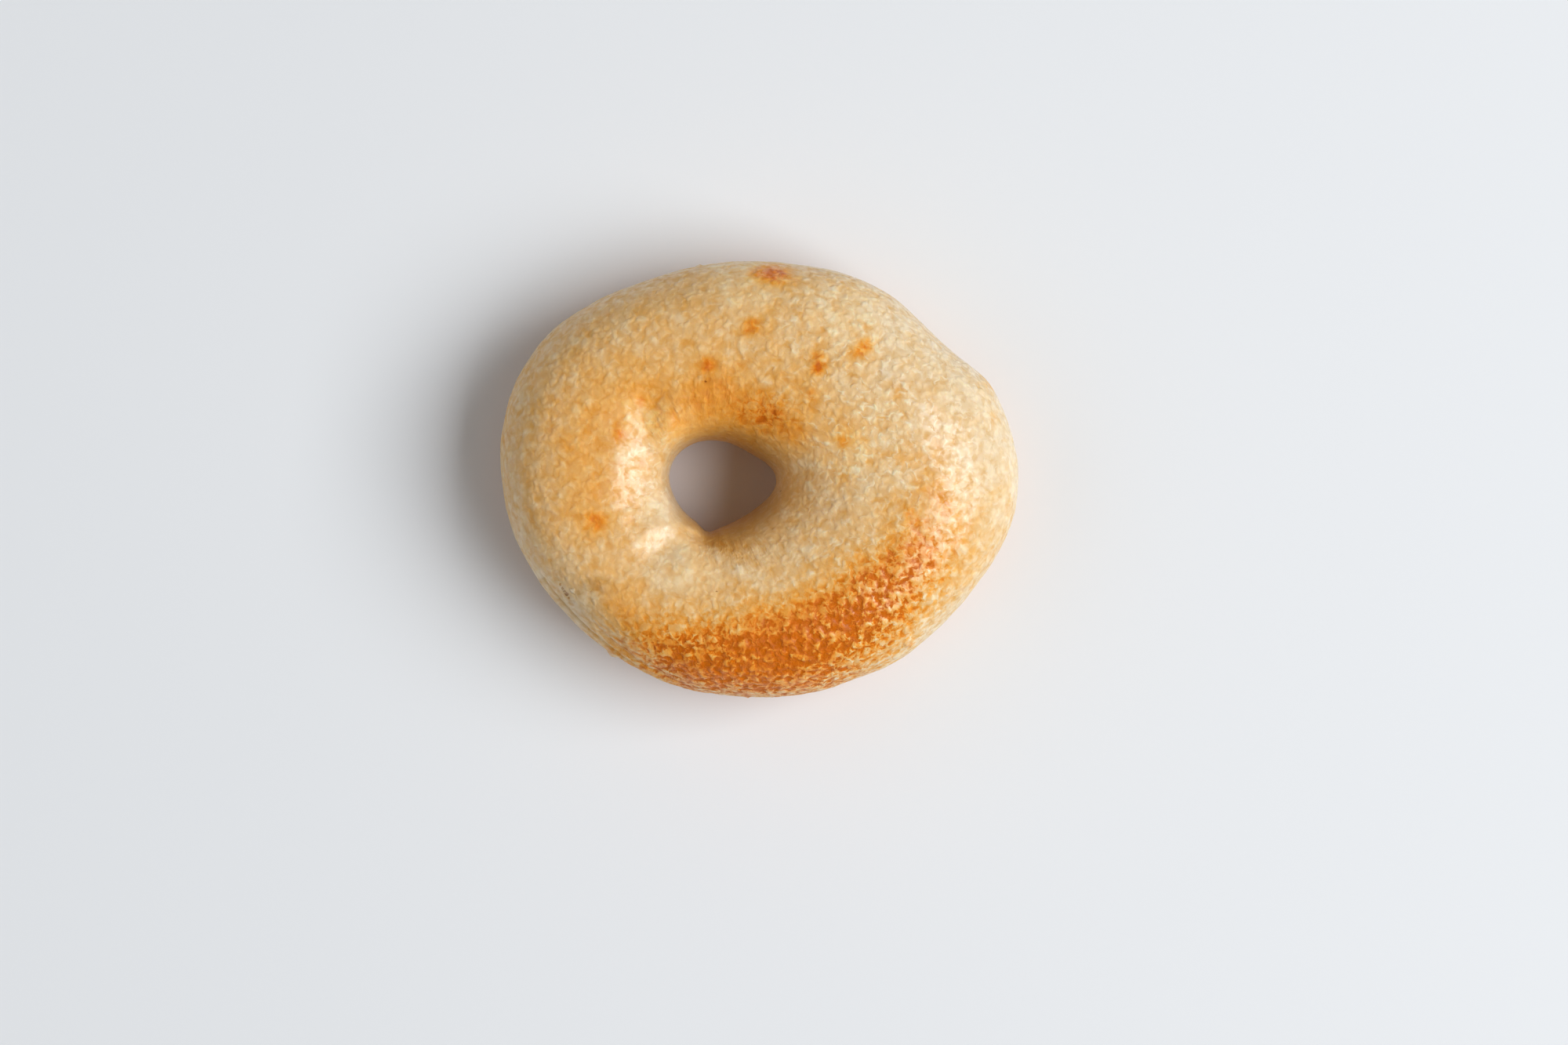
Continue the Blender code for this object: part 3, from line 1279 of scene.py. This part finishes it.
    def gloss(self, skin: SkinSockets) -> Socket:
        """How much shiny coat the skin has, from 0 to 1.

        Args:
            skin: What the material reads.

        Returns:
            The socket with the coat's weight.
        """
        graph = skin.graph
        swing = graph.step(skin.marks[Mark.GLOSS], self.gloss_edge, -self.gloss_swing, self.gloss_swing)
        boiled = graph.times_plus(swing, skin.traits[Trait.CRINKLE], self.gloss_mean)
        strokes = graph.times(skin.marks[Mark.STROKE], skin.traits[Trait.STROKED])
        boiled = graph.times_plus(strokes, self.stroke_gloss, boiled)
        low, high = self.flake_gloss
        flaky = graph.times_plus(skin.marks[Mark.FLAKE], high - low, low)
        glossy = graph.times_plus(graph.less(flaky, boiled), skin.traits[Trait.TORN], boiled)
        return graph.math("MULTIPLY", skin.traits[Trait.SHINE], glossy, clamp=True)

    def height(self, skin: SkinSockets) -> Socket:
        """The finest relief.

        Args:
            skin: What the material reads.

        Returns:
            The socket with the height, in millimetres.
        """
        graph = skin.graph
        risen = skin.with_specks(0.0, [speck.rise for speck, _ in skin.specks])
        grain = graph.times(skin.marks[Mark.GRAIN], self.torn_grain)
        rough = graph.times(skin.traits[Trait.TORN], skin.traits[Trait.CRINKLE])
        return skin.with_effects(graph.times_plus(grain, rough, risen), self.heights)


@dataclass(frozen=True)
class FloorFinish:
    """Plain pale paper."""

    colour: Colour = (0.86, 0.888, 0.92)
    roughness: float = 0.7

    def material(self) -> bpy.types.Material:
        """Build it.

        Returns:
            The floor's material.
        """
        material = bpy.data.materials.new("floor")
        material.use_nodes = True
        shader = material.node_tree.nodes["Principled BSDF"]
        shader.inputs["Base Color"].default_value = (*self.colour, 1)
        shader.inputs["Roughness"].default_value = self.roughness
        return material


# ---------------------------------------------------------------- the bagel


@dataclass(frozen=True)
class Bagel:
    """The whole bagel."""

    ring: Ring = Ring()
    toasting: Toasting = Toasting()
    shine: Shine = Shine()
    wrinkling: Wrinkling = Wrinkling()
    pattern: SkinPattern = SkinPattern()
    lying_fade: float = 1.5 * MM  # how far above the floor the relief has its whole height

    def skin(self) -> bpy.types.Object:
        """Build the closed skin of the ring, with its relief and its material.

        Returns:
            The one piece of the bagel.
        """
        low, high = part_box(NODE)
        form = self.form(fitted(self.ring.points(), low, high))
        relief = SkinRelief(self.pattern)
        material = CrustFinish(self.pattern).material()
        mesh = applied(form, relief.tree(material), relief.sizes())
        bpy.data.objects.remove(form)
        raised = np.empty(len(mesh.vertices) * 3)
        mesh.vertices.foreach_get("co", raised)
        mesh.vertices.foreach_set("co", fitted(raised.reshape(-1, 3), low, high).ravel())
        mesh.update()
        mesh.name = SKIN
        return linked(bpy.data.objects.new(SKIN, mesh))

    def form(self, points: np.ndarray) -> bpy.types.Object:
        """The smooth ring, which the relief is raised on.

        Args:
            points: The grid's points, in metres.

        Returns:
            An object whose mesh keeps what the skin is like at each point.
        """
        mesh = bpy.data.meshes.new("skin_form")
        mesh.from_pydata(points.tolist(), [], self.ring.faces().tolist())
        mesh.shade_smooth()
        for place, values in self.places(points).items():
            self.keep(mesh, place.value, "FLOAT_VECTOR", "vector", values)
        for trait, values in self.traits(points).items():
            self.keep(mesh, trait.value, "FLOAT", "value", values)
        return linked(bpy.data.objects.new("skin_form", mesh))

    def places(self, points: np.ndarray) -> dict[Place, np.ndarray]:
        """The coordinates that the pattern is read in, at each point."""
        return {
            Place.DOUGH: points / MM,
            Place.STREAK: self.ring.streaks(),
            Place.BANDED: self.ring.bands(),
        }

    def traits(self, points: np.ndarray) -> dict[Trait, np.ndarray]:
        """What the skin is like at each point."""
        return {
            Trait.TOAST: self.toasting.toast(points),
            Trait.SPOT: self.toasting.spot(points),
            Trait.TORN: self.toasting.torn(points),
            Trait.CRINKLE: self.wrinkling.crinkle(points),
            Trait.DRAWN: self.wrinkling.drawn(points),
            Trait.STROKED: self.wrinkling.stroked(points),
            Trait.LAYERED: self.wrinkling.layered(points),
            Trait.FOLD: self.ring.folds(),
            Trait.SHINE: self.shine.at(points),
            Trait.LYING: np.clip(1 - points[:, 2] / self.lying_fade, 0, 1),
        }

    @staticmethod
    def keep(mesh: bpy.types.Mesh, name: str, kind: str, field: str, values: np.ndarray) -> None:
        """Keep one number or vector for each point of a mesh, as a named attribute."""
        mesh.attributes.new(name, kind, "POINT").data.foreach_set(field, values.astype(np.float32).ravel())


def linked(piece: bpy.types.Object) -> bpy.types.Object:
    """An object, once it is in the scene."""
    bpy.context.scene.collection.objects.link(piece)
    return piece


# ---------------------------------------------------------------- studio


@dataclass(frozen=True)
class Panel:
    """A soft light that faces the bagel."""

    name: str
    size: tuple[float, float]  # width and height, in metres
    power: float  # watts
    bearing: float  # degrees round from +X
    elevation: float  # degrees above the floor
    distance: float  # metres from the bagel

    def build(self) -> None:
        """Hang it in its place."""
        lamp = bpy.data.lights.new(self.name, "AREA")
        lamp.shape = "RECTANGLE"
        lamp.size, lamp.size_y = self.size
        lamp.energy = self.power
        turn, tilt = math.radians(self.bearing), math.radians(self.elevation)
        way = Vector((math.cos(tilt) * math.cos(turn), math.cos(tilt) * math.sin(turn), math.sin(tilt)))
        panel = bpy.data.objects.new(self.name, lamp)
        panel.location = way * self.distance
        panel.rotation_euler = way.to_track_quat("Z", "Y").to_euler()
        linked(panel)


@dataclass(frozen=True)
class Studio:
    """Pale floor, one large soft light from the right, a little light from all round, camera overhead."""

    floor_side: float = 4.0
    floor_finish: FloorFinish = FloorFinish()
    softbox: Panel = Panel("softbox", (2.1, 1.65), 63.0, -7.0, 49.0, 2.5)
    card: Panel = Panel("card", (2.0, 0.9), 3.3, 180.0, 45.0, 1.5)  # throws some of it back
    sky_strength: float = 0.165
    lens: float = 85.0  # millimetres, as is the sensor
    sensor: float = 36.0
    camera_height: float = 0.803
    aim: tuple[float, float] = (5.25 * MM, -9.08 * MM)

    def build(self) -> None:
        """Set up all of it."""
        self.floor()
        self.softbox.build()
        self.card.build()
        self.sky()
        self.camera()
        bpy.context.scene.view_settings.view_transform = "Standard"

    def floor(self) -> None:
        """Lay the surface that the bagel lies on."""
        half = self.floor_side / 2
        mesh = bpy.data.meshes.new("floor")
        corners = [(-half, -half, 0), (half, -half, 0), (half, half, 0), (-half, half, 0)]
        mesh.from_pydata(corners, [], [(0, 1, 2, 3)])
        mesh.materials.append(self.floor_finish.material())
        floor = linked(bpy.data.objects.new("floor", mesh))

    def sky(self) -> None:
        """Add even light from all round."""
        world = bpy.data.worlds.new("room")
        world.use_nodes = True
        background = world.node_tree.nodes["Background"]
        background.inputs["Color"].default_value = (1, 1, 1, 1)
        background.inputs["Strength"].default_value = self.sky_strength
        bpy.context.scene.world = world

    def camera(self) -> None:
        """Set the camera up, straight above."""
        eye = bpy.data.cameras.new("camera")
        eye.lens = self.lens
        eye.sensor_width = self.sensor
        camera = linked(bpy.data.objects.new("camera", eye))
        camera.location = (*self.aim, self.camera_height)
        bpy.context.scene.camera = camera


def main() -> None:
    """Build the studio and the bagel in order."""
    logging.basicConfig(level=logging.INFO, format="%(name)s: %(message)s")
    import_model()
    Studio().build()
    skin = Bagel().skin()
    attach(skin, BODY)
    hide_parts(NODE)
    LOG.info("%s: %d faces", skin.name, len(skin.data.polygons))


if __name__ == "__main__":
    main()
